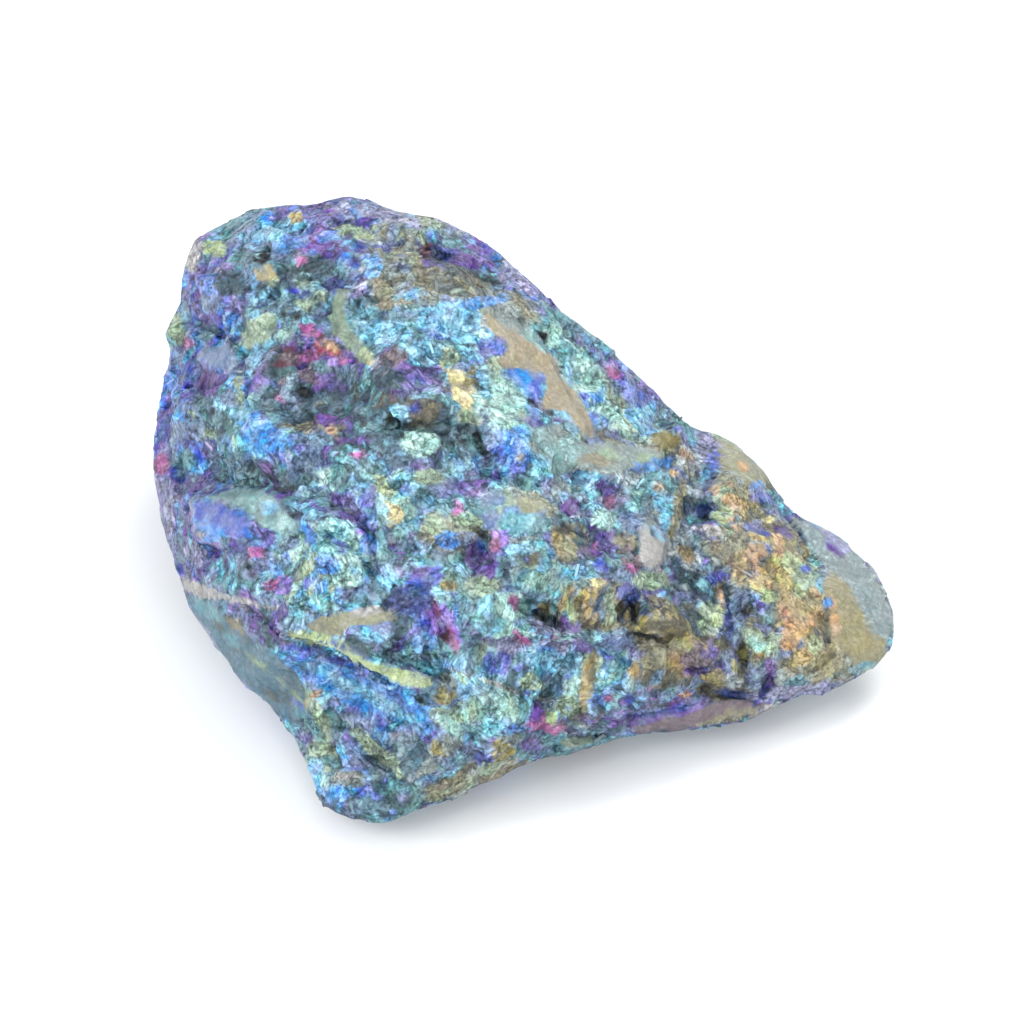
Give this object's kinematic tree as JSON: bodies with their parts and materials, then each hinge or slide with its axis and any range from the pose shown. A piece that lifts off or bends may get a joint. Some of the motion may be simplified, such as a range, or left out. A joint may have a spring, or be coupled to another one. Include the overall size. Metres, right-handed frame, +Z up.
{
  "type": "bornite specimen",
  "caption": "Rough lump of peacock ore, broad and high at one end and tapering to a worn tip, with ledges, pits and splintery faces. It lies on a flat broken underside.",
  "frame": {"origin": "middle of the stone's outline seen from above, on the surface it lies on", "axes": "+X runs along the length towards the narrow worn tip, +Y towards the high rear, +Z up"},
  "size_m": [0.0744, 0.0648, 0.0364],
  "materials": {
    "tarnished_ore": "rough metallic ore with an iridescent tarnish from violet and blue through cyan and green to gold, with dull grey-brown patches"
  },
  "bodies": {
    "root": {"bornite_specimen": "tarnished_ore"}
  },
  "joints": []
}
